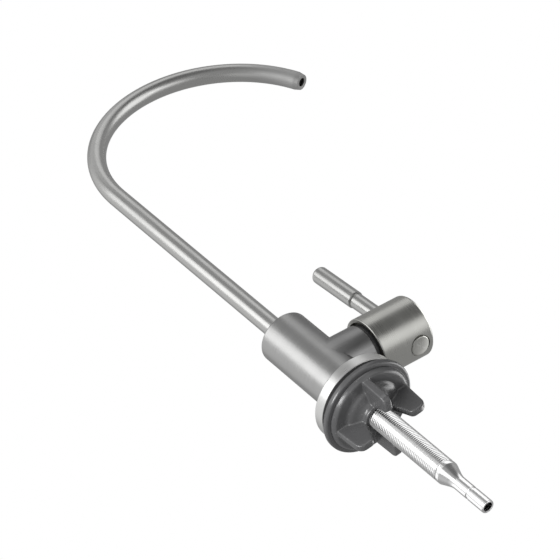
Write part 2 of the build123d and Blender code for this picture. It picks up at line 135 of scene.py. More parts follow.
def makeMouldGrain():
    # fine spark-eroded grain of a moulding tool, with slow flow marks
    group, start, end = newGroup(
        "mouldGrain",
        [("Vector", "NodeSocketVector", None), ("Scale", "NodeSocketFloat", 1500.0)],
        [("Grain", "NodeSocketFloat"), ("Flow", "NodeSocketFloat")])
    nodes, links = group.nodes, group.links
    grain = nodes.new("ShaderNodeTexNoise")
    grain.inputs["Detail"].default_value = 2.0
    links.new(start.outputs["Vector"], grain.inputs["Vector"])
    links.new(start.outputs["Scale"], grain.inputs["Scale"])
    flow = nodes.new("ShaderNodeTexNoise")
    flow.inputs["Scale"].default_value = 70.0
    flow.inputs["Detail"].default_value = 3.0
    flow.inputs["Distortion"].default_value = 0.8
    links.new(start.outputs["Vector"], flow.inputs["Vector"])
    links.new(grain.outputs[0], end.inputs["Grain"])
    links.new(flow.outputs[0], end.inputs["Flow"])
    return group


polishLines = makePolishLines()
edgeWearAndHighlight = makeEdgeWearAndHighlight()
mouldGrain = makeMouldGrain()


def newMaterial(name):
    material = bpy.data.materials.new(name)
    material.use_nodes = True
    nodes, links = material.node_tree.nodes, material.node_tree.links
    coordinates = nodes.new("ShaderNodeTexCoord")
    return material, nodes, links, nodes["Principled BSDF"], coordinates.outputs["Object"]


def placeGroup(nodes, links, group, place, **values):
    node = nodes.new("ShaderNodeGroup")
    node.node_tree = group
    links.new(place, node.inputs["Vector"])
    for label, value in values.items():
        node.inputs[label].default_value = value
    return node


def mixColours(nodes, links, amount, first, second):
    node = nodes.new("ShaderNodeMix")
    node.data_type = "RGBA"
    links.new(amount, node.inputs["Factor"])
    for socket, value in ((node.inputs["A"], first), (node.inputs["B"], second)):
        if isinstance(value, tuple):
            socket.default_value = (*value, 1.0)
        else:
            links.new(value, socket)
    return node.outputs["Result"]


def spreadValue(nodes, links, value, low, high):
    # noise lies mostly between 0.3 and 0.7, which is spread over low to high
    node = nodes.new("ShaderNodeMapRange")
    links.new(value, node.inputs["Value"])
    node.inputs["From Min"].default_value = 0.3
    node.inputs["From Max"].default_value = 0.7
    node.inputs["To Min"].default_value = low
    node.inputs["To Max"].default_value = high
    return node.outputs["Result"]


def bumpFrom(nodes, links, height, distance, strength):
    node = nodes.new("ShaderNodeBump")
    node.inputs["Distance"].default_value = distance
    node.inputs["Strength"].default_value = strength
    links.new(height, node.inputs["Height"])
    return node.outputs["Normal"]


def shadeAndDullMask(nodes, links, place, start, end):
    # a mask that rises along X between two places, in millimetres, for painted shade in the base colour
    # and added roughness
    apart = nodes.new("ShaderNodeSeparateXYZ")
    links.new(place, apart.inputs[0])
    rise = nodes.new("ShaderNodeMapRange")
    rise.interpolation_type = "SMOOTHSTEP"
    links.new(apart.outputs["X"], rise.inputs["Value"])
    rise.inputs["From Min"].default_value = start * mm
    rise.inputs["From Max"].default_value = end * mm
    return rise.outputs["Result"]


patchRoughness = 0.03                     # how far a metal's roughness wanders from patch to patch
plasticWearAndHighlight = {"From": 0.55, "To": 0.66}  # how sharp an edge of a moulding must be to turn lighter, partly as wear and partly as a painted highlight line


def polishedMetal(name, finish):
    material, nodes, links, shader, place = newMaterial(name)
    shader.inputs["Metallic"].default_value = 1.0
    lines = placeGroup(nodes, links, polishLines, place, Stretch=finish["stretch"], Scale=finish["scale"])
    edges = placeGroup(nodes, links, edgeWearAndHighlight, place)
    tone = mixColours(nodes, links, lines.outputs["Lines"], finish["darker"], finish["lighter"])
    wearAndPaintedLight = mixColours(nodes, links, edges.outputs["Edge"], tone, finish["edge"])
    low, high = finish["roughness"]
    fromLines = spreadValue(nodes, links, lines.outputs["Lines"], low, high)
    fromPatches = spreadValue(nodes, links, lines.outputs["Patches"], -patchRoughness, patchRoughness)
    rough = mathNode(nodes, links, "ADD", fromLines, fromPatches)
    # painted shade: over the masked stretch of X the base colour turns darker, and the roughness is raised
    # there too
    if "shadedAndDulled" in finish:
        start, end = finish["shadedAndDulled"]
        mask = shadeAndDullMask(nodes, links, place, start, end)
        wearAndPaintedLight = mixColours(nodes, links, mask, wearAndPaintedLight, finish["paintedShadeColour"])
        dulling = mathNode(nodes, links, "MULTIPLY", mask, finish["dulling"])
        rough = mathNode(nodes, links, "ADD", rough, dulling)
    links.new(wearAndPaintedLight, shader.inputs["Base Color"])
    links.new(rough, shader.inputs["Roughness"])
    bump = bumpFrom(nodes, links, lines.outputs["Lines"], finish["depth"], strength=0.6)
    links.new(bump, shader.inputs["Normal"])
    return material


def mouldedPlastic(name, finish):
    material, nodes, links, shader, place = newMaterial(name)
    shader.inputs["Specular IOR Level"].default_value = finish["gloss"]
    grain = placeGroup(nodes, links, mouldGrain, place, Scale=finish["scale"])
    edges = placeGroup(nodes, links, edgeWearAndHighlight, place, **plasticWearAndHighlight)
    tone = mixColours(nodes, links, grain.outputs["Flow"], finish["darker"], finish["lighter"])
    wearAndPaintedLight = mixColours(nodes, links, edges.outputs["Edge"], tone, finish["edge"])
    links.new(wearAndPaintedLight, shader.inputs["Base Color"])
    low, high = finish["roughness"]
    links.new(spreadValue(nodes, links, grain.outputs["Flow"], low, high), shader.inputs["Roughness"])
    bump = bumpFrom(nodes, links, grain.outputs["Grain"], finish["depth"], strength=0.5)
    links.new(bump, shader.inputs["Normal"])
    return material


alongZ = (1.0, 1.0, 45.0)       # hairlines that run round the upright pieces
alongX = (45.0, 1.0, 1.0)       # hairlines that run round the branch's axis
lengthwise = (30.0, 30.0, 1.0)  # hairlines that run up the tube

# Colours from darker to lighter, bump depths in metres; the shaded stretch is along X in millimetres:
# satinBody has painted shade and a duller finish over the barrel's branch side and the branch, satinTube
# over the drawn end

satinBody = polishedMetal("satinBody", {
    "darker": (0.46, 0.46, 0.455), "lighter": (0.58, 0.58, 0.575), "edge": (0.72, 0.72, 0.71),
    "roughness": (0.30, 0.38), "stretch": alongZ, "scale": 60.0, "depth": 0.00002,
    # painted shade: base colour darkened from X -6 mm onwards, over the branch side of the barrel and the
    # branch
    "shadedAndDulled": (-6.0, 9.0), "paintedShadeColour": (0.34, 0.34, 0.34), "dulling": 0.04})
satinCap = polishedMetal("satinCap", {
    "darker": (0.50, 0.50, 0.475), "lighter": (0.60, 0.60, 0.57), "edge": (0.74, 0.74, 0.72),
    "roughness": (0.27, 0.35), "stretch": alongX, "scale": 60.0, "depth": 0.00002})
satinBase = polishedMetal("satinBase", {
    "darker": (0.80, 0.80, 0.79), "lighter": (0.90, 0.90, 0.89), "edge": (0.95, 0.95, 0.94),
    "roughness": (0.30, 0.40), "stretch": alongZ, "scale": 60.0, "depth": 0.00002})
satinTube = polishedMetal("satinTube", {
    "darker": (0.54, 0.54, 0.53), "lighter": (0.64, 0.64, 0.63), "edge": (0.74, 0.74, 0.73),
    "roughness": (0.26, 0.34), "stretch": lengthwise, "scale": 60.0, "depth": 0.000015,
    # painted shade: base colour a little darker over the drawn end, which is also rougher
    "shadedAndDulled": (104.0, 122.0), "paintedShadeColour": (0.56, 0.56, 0.555), "dulling": 0.24})
brightSteel = polishedMetal("brightSteel", {
    "darker": (0.86, 0.86, 0.86), "lighter": (0.94, 0.94, 0.94), "edge": (0.97, 0.97, 0.97),
    "roughness": (0.15, 0.22), "stretch": alongZ, "scale": 80.0, "depth": 0.00001})
machinedBrass = polishedMetal("machinedBrass", {
    "darker": (0.66, 0.48, 0.20), "lighter": (0.80, 0.62, 0.30), "edge": (0.86, 0.70, 0.40),
    "roughness": (0.22, 0.34), "stretch": alongX, "scale": 70.0, "depth": 0.00002})
blackPlastic = mouldedPlastic("blackPlastic", {
    # the lighter edge colour is partly wear, partly a painted highlight line along the edges of the black
    # mouldings
    "darker": (0.060, 0.060, 0.061), "lighter": (0.070, 0.070, 0.072), "edge": (0.16, 0.16, 0.16),
    "roughness": (0.22, 0.30), "gloss": 0.5, "scale": 1500.0, "depth": 0.00004})
blackRubber = mouldedPlastic("blackRubber", {
    "darker": (0.030, 0.030, 0.031), "lighter": (0.042, 0.042, 0.043), "edge": (0.07, 0.07, 0.07),
    "roughness": (0.52, 0.66), "gloss": 0.35, "scale": 1100.0, "depth": 0.00006})
whiteNylon = mouldedPlastic("whiteNylon", {
    "darker": (0.78, 0.78, 0.74), "lighter": (0.86, 0.86, 0.83), "edge": (0.9, 0.9, 0.88),
    "roughness": (0.38, 0.5), "gloss": 0.4, "scale": 1200.0, "depth": 0.00003})
lappedCeramic = mouldedPlastic("lappedCeramic", {
    "darker": (0.84, 0.84, 0.81), "lighter": (0.91, 0.91, 0.89), "edge": (0.95, 0.95, 0.94),
    "roughness": (0.10, 0.16), "gloss": 0.5, "scale": 900.0, "depth": 0.00001})
print("finishes made")


# Shaping helpers

def outlineShape(corners, segments=4):
    # a closed outline in the XZ plane; each corner is (x, z, rounding) in millimetres
    bm = bmesh.new()
    points = [bm.verts.new((x * mm, 0, z * mm)) for x, z, rounding in corners]
    bm.faces.new(points)
    for size in sorted({rounding for x, z, rounding in corners if rounding}):
        chosen = [point for point, corner in zip(points, corners) if corner[2] == size]
        bmesh.ops.bevel(
            bm, geom=chosen, offset=size * mm, offset_type="OFFSET", segments=segments,
            profile=0.5, affect="VERTICES", material=-1, clamp_overlap=True)
    return bm


def turnedShape(corners, steps=96, segments=4):
    # the outline spun round Z
    bm = outlineShape(corners, segments)
    bmesh.ops.delete(bm, geom=bm.faces[:], context="FACES_ONLY")
    onAxis = [edge for edge in bm.edges if max(vert.co.x for vert in edge.verts) < 1e-7]
    bmesh.ops.delete(bm, geom=onAxis, context="EDGES")
    bmesh.ops.spin(
        bm, geom=bm.verts[:] + bm.edges[:], cent=(0, 0, 0), axis=(0, 0, 1), dvec=(0, 0, 0),
        angle=2 * math.pi, steps=steps, use_merge=True, use_normal_flip=False, use_duplicate=False)
    closeUp(bm)
    return bm


def closeUp(bm):
    bmesh.ops.remove_doubles(bm, verts=bm.verts[:], dist=1e-6)
    bmesh.ops.recalc_face_normals(bm, faces=bm.faces[:])


def moved(bm, matrix):
    bmesh.ops.transform(bm, matrix=matrix, verts=bm.verts[:])
    return bm


def meshObject(bm, name):
    mesh = bpy.data.meshes.new(name)
    bm.to_mesh(mesh)
    bm.free()
    piece = bpy.data.objects.new(name, mesh)
    bpy.context.scene.collection.objects.link(piece)
    return piece


def appliedShape(piece):
    # the piece with its modifiers applied, as a bmesh; the helper object goes
    bpy.context.view_layer.update()
    shown = piece.evaluated_get(bpy.context.evaluated_depsgraph_get())
    mesh = bpy.data.meshes.new_from_object(shown)
    bm = bmesh.new()
    bm.from_mesh(mesh)
    bpy.data.meshes.remove(mesh)
    bpy.data.objects.remove(piece)
    return bm


def combined(bm, toolShape, operation):
    piece = meshObject(bm, "combining")
    tool = meshObject(toolShape, "combiningTool")
    modifier = piece.modifiers.new("combine", "BOOLEAN")
    modifier.operation = operation
    modifier.solver = "EXACT"
    modifier.object = tool
    result = appliedShape(piece)
    bpy.data.objects.remove(tool)
    closeUp(result)
    return result


def softMoulding(bm, grid, rounds):
    # one closed skin over shapes that run into each other, its edges and roots softened
    piece = meshObject(bm, "moulding")
    modifier = piece.modifiers.new("skin", "REMESH")
    modifier.mode = "VOXEL"
    modifier.voxel_size = grid
    result = appliedShape(piece)
    for turn in range(rounds):
        bmesh.ops.smooth_vert(
            result, verts=result.verts[:], factor=0.5, use_axis_x=True, use_axis_y=True, use_axis_z=True)
    return result


def joinedShells(first, second):
    mesh = bpy.data.meshes.new("shell")
    second.to_mesh(mesh)
    second.free()
    first.from_mesh(mesh)
    bpy.data.meshes.remove(mesh)
    return first


def finishPiece(bm, name, body, material, nodes, sharpAngle=38):
    for face in bm.faces:
        face.smooth = True
    piece = meshObject(bm, name)
    piece.data.set_sharp_from_angle(angle=math.radians(sharpAngle))
    piece.data.materials.append(material)
    evenShading = piece.modifiers.new("evenShading", "WEIGHTED_NORMAL")
    evenShading.keep_sharp = True
    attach(piece, body)
    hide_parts(*nodes)
    return piece


# Where the pieces stand: the branch runs along X at this height, and the handle leans.
# The sizes of the pieces are in millimetres from here on

branchHeight = 29.3
handleLean = math.radians(4.3)
fineEdge = 0.2                # rounding of an ordinary machined edge
ontoBranch = Matrix.Translation((0, 0, branchHeight * mm)) @ Matrix.Rotation(math.radians(90), 4, "Y")
leaned = Matrix.Translation((0, 0, branchHeight * mm)) @ Matrix.Rotation(-handleLean, 4, "X")
ontoHandle = leaned @ Matrix.Rotation(math.radians(90), 4, "Y")


# Body: upright barrel and branch, united, with the gland's seat and the branch bore

tee = {"radius": 12.8, "bottom": 8.6, "top": 60.8, "rim": 0.9, "footRadius": 9.5, "footBottom": 4.2,
       "footRim": 0.3, "bore": 8.25, "boreFloor": 56.0, "branchRadius": 12.6, "branchEnd": 21.2,
       "branchRim": 0.5, "branchBore": 10.0, "branchBoreFloor": 15.4}


def makeBody():
    barrel = turnedShape([
        (0, tee["footBottom"], 0), (tee["footRadius"], tee["footBottom"], tee["footRim"]),
        (tee["footRadius"], tee["bottom"], 0), (tee["radius"], tee["bottom"], fineEdge),
        (tee["radius"], tee["top"], tee["rim"]), (tee["bore"], tee["top"], fineEdge),
        (tee["bore"], tee["boreFloor"], 0), (0, tee["boreFloor"], 0)], steps=128)
    branch = turnedShape([
        (0, 0, 0), (tee["branchRadius"], 0, 0), (tee["branchRadius"], tee["branchEnd"], tee["branchRim"]),
        (tee["branchBore"], tee["branchEnd"], fineEdge), (tee["branchBore"], tee["branchBoreFloor"], 0),
        (0, tee["branchBoreFloor"], 0)], steps=128)
    united = combined(barrel, moved(branch, ontoBranch), "UNION")
    return finishPiece(united, "bodyTee", "fixed", satinBody, ["body"])


makeBody()


# Base plate, gasket and clamp washer: the stack that holds the deck between them

basePlate = {"radius": 21.5, "bottom": 2.85, "top": 8.6, "hole": 9.55, "lowerEdge": 0.35, "upperEdge": 0.9}
baseGasket = {"radius": 21.2, "hole": 11.0, "gap": 0.02, "lowerEdge": 0.5, "upperEdge": 0.15}
clampWasher = {"radius": 23.3, "height": 2.5, "hole": 5.906, "holeEdge": 0.3, "lowerEdge": 1.0,
               "upperEdge": 0.5}


def makeBasePlate():
    hole, radius = basePlate["hole"], basePlate["radius"]
    bottom, top = basePlate["bottom"], basePlate["top"]
    plate = turnedShape([
        (hole, bottom, 0), (radius, bottom, basePlate["lowerEdge"]),
        (radius, top, basePlate["upperEdge"]), (hole, top, 0)], steps=160)
    return finishPiece(plate, "basePlate", "fixed", satinBase, ["base_plate"])


def makeBaseGasket():
    hole, radius = baseGasket["hole"], baseGasket["radius"]
    top = basePlate["bottom"] - baseGasket["gap"]
    gasket = turnedShape([
        (hole, 0, 0), (radius, 0, baseGasket["lowerEdge"]),
        (radius, top, baseGasket["upperEdge"]), (hole, top, 0)], steps=160)
    return finishPiece(gasket, "baseGasket", "fixed", blackRubber, ["base_gasket"])


def makeClampWasher():
    hole, radius, bottom = clampWasher["hole"], clampWasher["radius"], -clampWasher["height"]
    washer = turnedShape([
        (hole, 0, clampWasher["holeEdge"]), (hole, bottom, clampWasher["holeEdge"]),
        (radius, bottom, clampWasher["lowerEdge"]), (radius, 0, clampWasher["upperEdge"])],
        steps=160, segments=8)
    return finishPiece(washer, "clampWasher", "clamp", blackPlastic, ["clamp_washer"])


makeBasePlate()
makeBaseGasket()
makeClampWasher()
print("body and deck stack made")


# Wing nut: flange, stepped hub and four finger wings in one moulding

wingNut = {"top": -2.52, "flangeRadius": 21.0, "rimHeight": 2.6, "floor": 2.4, "edgeHeight": 0.9,
           "chamfer": 1.2, "bore": 5.63, "hubRadius": 13.6, "hubDraft": 0.8, "hubRounding": 0.8,
           "hubEnd": 8.0, "hubBottom": -10.5, "wings": 4, "azimuth": -8.5, "thickness": 3.7,
           "wingInner": 9.0, "wingTop": -4.0, "wingShoulder": -5.2, "wingRoot": 19.4, "wingTip": 18.6,
           "wingBottom": -20.2,
           "tipRounding": 3.5, "tabInner": 10.7, "tabHeight": 4.7, "tabRounding": 1.6, "edge": 0.7,
           "grid": 0.26, "softening": 5}


def makeWing(azimuth):
    # the last two corners carry the wing into the wall at the hub's end
    inner, root, bottom = wingNut["wingInner"], wingNut["wingRoot"], wingNut["wingBottom"]
    outline = outlineShape([
        (inner, wingNut["wingTop"], 0), (root, wingNut["wingTop"], 0), (root, wingNut["wingShoulder"], 0),
        (wingNut["wingTip"], bottom, wingNut["tipRounding"]),
        (wingNut["tabInner"], bottom, wingNut["tabRounding"]), (inner, bottom + wingNut["tabHeight"], 1.0),
        (7.5, wingNut["hubBottom"] - 1.4, 0.4), (7.0, wingNut["hubBottom"] + 0.5, 0)], segments=6)
    half = wingNut["thickness"] / 2 * mm
    face = outline.faces[:]
    side = bmesh.ops.extrude_face_region(outline, geom=face)
    raised = [item for item in side["geom"] if isinstance(item, bmesh.types.BMVert)]
    bmesh.ops.translate(outline, vec=(0, 2 * half, 0), verts=raised)
    bmesh.ops.translate(outline, vec=(0, -half, 0), verts=outline.verts[:])
    closeUp(outline)
    rims = [edge for edge in outline.edges if len(edge.link_faces) == 2
            and abs(edge.verts[0].co.y - edge.verts[1].co.y) < 1e-7]
    bmesh.ops.bevel(
        outline, geom=rims, offset=wingNut["edge"] * mm, offset_type="OFFSET", segments=3, profile=0.5,
        affect="EDGES", material=-1, clamp_overlap=True)
    return moved(outline, Matrix.Rotation(math.radians(azimuth), 4, "Z"))


def makeWingNut():
    # the hub steps down from the flange in two slopes to its plain end
    top, bottom = wingNut["top"], wingNut["hubBottom"]
    rim = top - wingNut["rimHeight"]
    floor = top - wingNut["floor"]
    flange, bore, edge = wingNut["flangeRadius"], wingNut["bore"], wingNut["edgeHeight"]
    hub, draft, end = wingNut["hubRadius"], wingNut["hubDraft"], wingNut["hubEnd"]
    rounding = wingNut["hubRounding"]
    shape = turnedShape([
        (bore, top, fineEdge), (flange, top, fineEdge), (flange, top - edge, 0.3),
        (flange - wingNut["chamfer"], floor, 0.5), (hub + draft, floor, rounding),
        (hub - draft, rim - 1.2, rounding), (end + 1.8, rim - 2.3, rounding),
        (end, rim - 3.6, 0.5), (end, bottom, 0.5), (bore, bottom, 0.3)], steps=128)
    turn = 360 / wingNut["wings"]
    for wing in range(wingNut["wings"]):
        shape = joinedShells(shape, makeWing(wingNut["azimuth"] + turn * wing))
    moulding = softMoulding(shape, wingNut["grid"] * mm, wingNut["softening"])
    return finishPiece(
        moulding, "wingNut", "nut", blackPlastic, ["wing_nut"], sharpAngle=80)


makeWingNut()
print("wing nut made")


# Shank: the helical thread, then groove, land, cone and grooved tail

shank = {"crest": 5.556, "root": 4.93, "pitch": 1.0583, "threadTop": 16.0, "threadEnd": -54.4,
         "tooth": [("root", 0.0), ("root", 0.2), ("crest", 0.54), ("crest", 0.66), ("root", 1.0)],
         "turnSteps": 48, "core": 4.856, "grooveEnd": -55.3, "landEnd": -56.9, "coneEnd": -64.0,
         "tailRadius": 3.175, "tailGroove": -72.8, "grooveDepth": 0.35, "tailEnd": -83.4, "tailBore": 2.2,
         "boreDepth": 14.0}


def makeThread():
    # one tooth, each point a share of the pitch up, wound up past both ends and cut off there
    pitch = shank["pitch"]
    bm = bmesh.new()
    start = shank["threadEnd"] - 2 * pitch
    points = [bm.verts.new((shank[place] * mm, 0, (start + share * pitch) * mm))
              for place, share in shank["tooth"]]
    for lower, upper in zip(points, points[1:]):
        bm.edges.new((lower, upper))
    turns = int((shank["threadTop"] - start) / pitch) + 2
    bmesh.ops.spin(
        bm, geom=bm.verts[:] + bm.edges[:], cent=(0, 0, 0), axis=(0, 0, 1),
        dvec=(0, 0, pitch * mm / shank["turnSteps"]), angle=2 * math.pi * turns,
        steps=turns * shank["turnSteps"], use_merge=False, use_normal_flip=False, use_duplicate=False)
    bmesh.ops.remove_doubles(bm, verts=bm.verts[:], dist=1e-6)
    for height, normal in ((shank["threadTop"], (0, 0, 1)), (shank["threadEnd"], (0, 0, -1))):
        cut = bmesh.ops.bisect_plane(
            bm, geom=bm.verts[:] + bm.edges[:] + bm.faces[:], dist=1e-7, plane_co=(0, 0, height * mm),
            plane_no=normal, clear_outer=True, clear_inner=False)
        rim = [item for item in cut["geom_cut"] if isinstance(item, bmesh.types.BMEdge)]
        bmesh.ops.edgeloop_fill(bm, edges=rim)
    closeUp(bm)
    return bm


def makeShank():
    tail, groove, end = shank["tailRadius"], shank["tailGroove"], shank["tailEnd"]
    sunk = shank["grooveDepth"]     # the groove's flanks stand at 45 degrees
    lower = turnedShape([
        (0, shank["threadEnd"] + 0.5, 0), (shank["core"], shank["threadEnd"] + 0.5, 0),
        (shank["core"], shank["grooveEnd"], 0.1), (shank["crest"], shank["grooveEnd"], 0.12),
        (shank["crest"], shank["landEnd"], 0.25), (tail + 0.25, shank["coneEnd"] + 1.4, 1.2),
        (tail, shank["coneEnd"] - 0.4, 0.5), (tail, groove + 2 * sunk, 0.1),
        (tail - sunk, groove + sunk, 0.1), (tail - sunk, groove - sunk, 0.1),
        (tail, groove - 2 * sunk, 0.1), (tail, end, 0.5),
        (shank["tailBore"], end, 0.15), (shank["tailBore"], end + shank["boreDepth"], 0),
        (0, end + shank["boreDepth"], 0)])
    whole = joinedShells(makeThread(), lower)
    return finishPiece(
        whole, "threadedShank", "fixed", brightSteel, ["shank"], sharpAngle=30)


makeShank()
print("shank made")


# Spout: the straight leg, the bend and the drawn-in tip, walled inwards

spoutTube = {"radius": 4.76, "wall": 0.9, "foot": 44.6, "bendStart": 198.8, "bendRadius": 65.4,
             "bendAngle": 161.4, "tipAngle": 2.8, "tipDrawn": 0.86, "drawSteps": 5, "lip": 0.70,
             "lipEdge": 0.18, "edgeAngle": 60, "around": 64, "alongBend": 120}


def makeSpout():
    bm = bmesh.new()
    bmesh.ops.create_circle(
        bm, cap_ends=False, segments=spoutTube["around"], radius=spoutTube["radius"] * mm,
        matrix=Matrix.Translation((0, 0, spoutTube["foot"] * mm)))
    ring = bm.edges[:]
    leg = bmesh.ops.extrude_edge_only(bm, edges=ring)
    ringVerts = [item for item in leg["geom"] if isinstance(item, bmesh.types.BMVert)]
    bmesh.ops.translate(bm, vec=(0, 0, (spoutTube["bendStart"] - spoutTube["foot"]) * mm), verts=ringVerts)
    upper = set(ringVerts)
    ring = [edge for edge in bm.edges if all(vert in upper for vert in edge.verts)]
    centre = Vector((spoutTube["bendRadius"] * mm, 0, spoutTube["bendStart"] * mm))
    arc = math.radians(spoutTube["bendAngle"] - spoutTube["tipAngle"])
    bend = bmesh.ops.spin(
        bm, geom=ringVerts + ring, cent=centre, axis=(0, 1, 0), dvec=(0, 0, 0), angle=arc,
        steps=spoutTube["alongBend"], use_merge=False, use_normal_flip=False, use_duplicate=False)
    last = bend["geom_last"]
    drawSteps = spoutTube["drawSteps"]
    share = spoutTube["tipDrawn"] ** (1 / drawSteps)
    for step in range(drawSteps):   # the tip: short turns, each ring a little smaller
        turn = bmesh.ops.spin(
            bm, geom=last, cent=centre, axis=(0, 1, 0), dvec=(0, 0, 0),
            angle=math.radians(spoutTube["tipAngle"]) / drawSteps, steps=1,
            use_merge=False, use_normal_flip=False, use_duplicate=False)
        last = turn["geom_last"]
        rim = [item for item in last if isinstance(item, bmesh.types.BMVert)]
        middle = sum((vert.co for vert in rim), Vector()) / len(rim)
        bmesh.ops.scale(bm, vec=(share, share, share), space=Matrix.Translation(-middle), verts=rim)
    closeUp(bm)
    outside = set(rim)
    bmesh.ops.solidify(bm, geom=bm.faces[:], thickness=spoutTube["wall"] * mm)
    # the new inner rim at the tip is drawn in further, to the size of the mouth
    mouth = [vert for vert in bm.verts if vert not in outside
             and (vert.co - middle).length < spoutTube["radius"] * mm * 0.8]
    lip = spoutTube["lip"]
    bmesh.ops.scale(bm, vec=(lip, lip, lip), space=Matrix.Translation(-middle), verts=mouth)
    closeUp(bm)
    sharp = math.radians(spoutTube["edgeAngle"])
    rimEdges = [edge for edge in bm.edges if edge.is_manifold and edge.calc_face_angle() > sharp]
    bmesh.ops.bevel(
        bm, geom=rimEdges, offset=spoutTube["lipEdge"] * mm, offset_type="OFFSET", segments=2, profile=0.5,
        affect="EDGES", material=-1, clamp_overlap=True)
    return finishPiece(bm, "spoutTube", "spout_assembly", satinTube, ["spout"])


makeSpout()


# Gland at the spout's foot, with two slots for a pin spanner

gland = {"radius": 8.2, "hole": 4.86, "bottom": 56.0, "top": 61.8, "rim": 0.75, "slotWidth": 1.6,
         "slotLength": 4.4, "slotDepth": 0.9}


def makeGland():
    ring = turnedShape([
        (gland["hole"], gland["bottom"], 0), (gland["radius"], gland["bottom"], fineEdge),
        (gland["radius"], gland["top"], gland["rim"]), (gland["hole"], gland["top"], fineEdge)])
    height = 2.0    # of the cutter, which stands half above its middle
    size = (gland["slotWidth"] * mm, gland["slotLength"] * mm, height * mm)
    for side in (1, -1):
        cutter = bmesh.new()
        bmesh.ops.create_cube(cutter, size=1.0)
        bmesh.ops.scale(cutter, vec=size, verts=cutter.verts[:])
        lift = gland["top"] - gland["slotDepth"] + height / 2
        moved(cutter, Matrix.Translation((0, side * gland["radius"] * mm, lift * mm)))
        ring = combined(ring, cutter, "DIFFERENCE")
    return finishPiece(ring, "spoutGland", "fixed", satinBody, ["spout_gland"])


makeGland()
print("spout made")


# Handle: cap with its cross holes, lever and plug, and the glide ring behind the cap

handle = {"capInner": 22.9, "capOuter": 50.3, "capRadius": 14.84, "mouthRadius": 13.2, "mouthFloor": 29.0,
          "backEdge": 0.6, "faceEdge": 1.8, "gap": 0.05, "clear": 20.0,
          "leverX": 42.3, "neck": 3.8, "neckSeat": 11.84, "neckCut": 0.35, "step": 33.3, "grip": 4.25,
          "leverEnd": 62.9, "endTaper": 1.1, "taperLength": 1.3, "seatGap": 0.02,
          "plug": 4.84, "plugSeat": 11.2, "plugProud": 0.35, "plugDome": 0.3, "domeShare": 0.62,
          "domeFall": 0.06, "grooveWidth": 0.42, "grooveFloor": 13.5}
glideRing = {"hole": 11.12, "radius": 12.1, "start": 21.22, "end": 23.6, "rim": 0.4}

acrossCap = leaned @ Matrix.Translation((handle["leverX"] * mm, 0, 0))


def crossCutter(radius, low, high):
    cutter = turnedShape([(0, low, 0), (radius, low, 0), (radius, high, 0), (0, high, 0)], steps=64)
    return moved(cutter, acrossCap)


def makeCap():
    cap = turnedShape([
        (0, handle["mouthFloor"], 0), (handle["mouthRadius"], handle["mouthFloor"], 0),
        (handle["mouthRadius"], handle["capInner"], fineEdge),
        (handle["capRadius"], handle["capInner"], handle["backEdge"]),
        (handle["capRadius"], handle["capOuter"], handle["faceEdge"]), (0, handle["capOuter"], 0)],
        steps=160, segments=6)
    moved(cap, ontoHandle)
    cutters = [
        (handle["neck"] + handle["gap"], handle["neckSeat"], handle["clear"]),
        (handle["plug"] + handle["gap"], -handle["clear"], -handle["plugSeat"]),
        (handle["plug"] + handle["grooveWidth"], -handle["clear"], -handle["grooveFloor"])]
    for radius, low, high in cutters:
        cap = combined(cap, crossCutter(radius, low, high), "DIFFERENCE")
    return finishPiece(cap, "handleCap", "handle", satinCap, ["handle_cap"])


def makeLever():
    neck, grip, step, end = handle["neck"], handle["grip"], handle["step"], handle["leverEnd"]
    seat, cut = handle["neckSeat"] + handle["seatGap"], handle["neckCut"]
    rod = turnedShape([
        (0, seat, 0), (neck, seat, fineEdge), (neck, step - 0.8, 0.15), (neck - cut, step - 0.45, 0.1),
        (neck - cut, step, 0), (grip - 0.3, step, 0), (grip, step + 0.5, fineEdge),
        (grip, end - handle["taperLength"], 0.5), (grip - handle["endTaper"], end, 0.4), (0, end, 0)])
    moved(rod, acrossCap)
    return finishPiece(rod, "leverRod", "handle", satinTube, ["lever_rod"])


def makePlug():
    radius, seat = handle["plug"], -handle["plugSeat"] - handle["seatGap"]
    end = -(handle["capRadius"] + handle["plugProud"])
    plug = turnedShape([
        (0, seat, 0), (radius, seat, fineEdge), (radius, end + handle["plugDome"], 0.5),
        (radius * handle["domeShare"], end + handle["domeFall"], 1.2), (0, end, 0)], steps=80, segments=6)
    moved(plug, acrossCap)
    return finishPiece(plug, "capPlug", "handle", satinCap, ["cap_plug"])


def makeGlideRing():
    hole, radius = glideRing["hole"], glideRing["radius"]
    start, end = glideRing["start"], glideRing["end"]
    ring = turnedShape([
        (hole, start, 0), (radius, start, fineEdge),
        (radius, end, glideRing["rim"]), (hole, end, fineEdge)])
    moved(ring, ontoBranch)
    return finishPiece(ring, "glideRing", "fixed", blackPlastic, ["glide_ring"])


makeCap()
makeLever()
makePlug()
makeGlideRing()
print("handle made")


# The CAD nodes that stay take the finish of their slot

slotFinish = {
    "satin_body": satinBody, "satin_base": satinBase, "satin_tube": satinTube, "bright_steel": brightSteel,
    "brass": machinedBrass, "black_rubber": blackRubber, "black_plastic": blackPlastic,
    "white_nylon": whiteNylon, "ceramic": lappedCeramic}
for subpart in frame["record"]["subparts"]:
    node = frame["nodes"][subpart["node"]]
    for place in node.material_slots:
        place.material = slotFinish[subpart["material_slot"]]


# Studio: pale floor that can't be seen from below, white surround, soft lamps

studio = {
    "floorGap": 0.2, "floorSize": 3.0, "floorColour": (0.86, 0.86, 0.85), "floorRoughness": 0.9,
    "floorLight": 1.45, "floorLightTowards": (-0.35, -0.25, 0.9), "floorLightAngle": 30, "surround": 0.34,
    "patches": [
        {"towards": (-0.74, 0.13, 0.656), "inner": 15, "outer": 55, "strength": 0.36},
        {"towards": (0.43, -0.90, -0.05), "inner": 5, "outer": 42, "strength": -0.20},
        {"towards": (-0.85, -0.15, -0.50), "inner": 5, "outer": 32, "strength": 0.25}]}


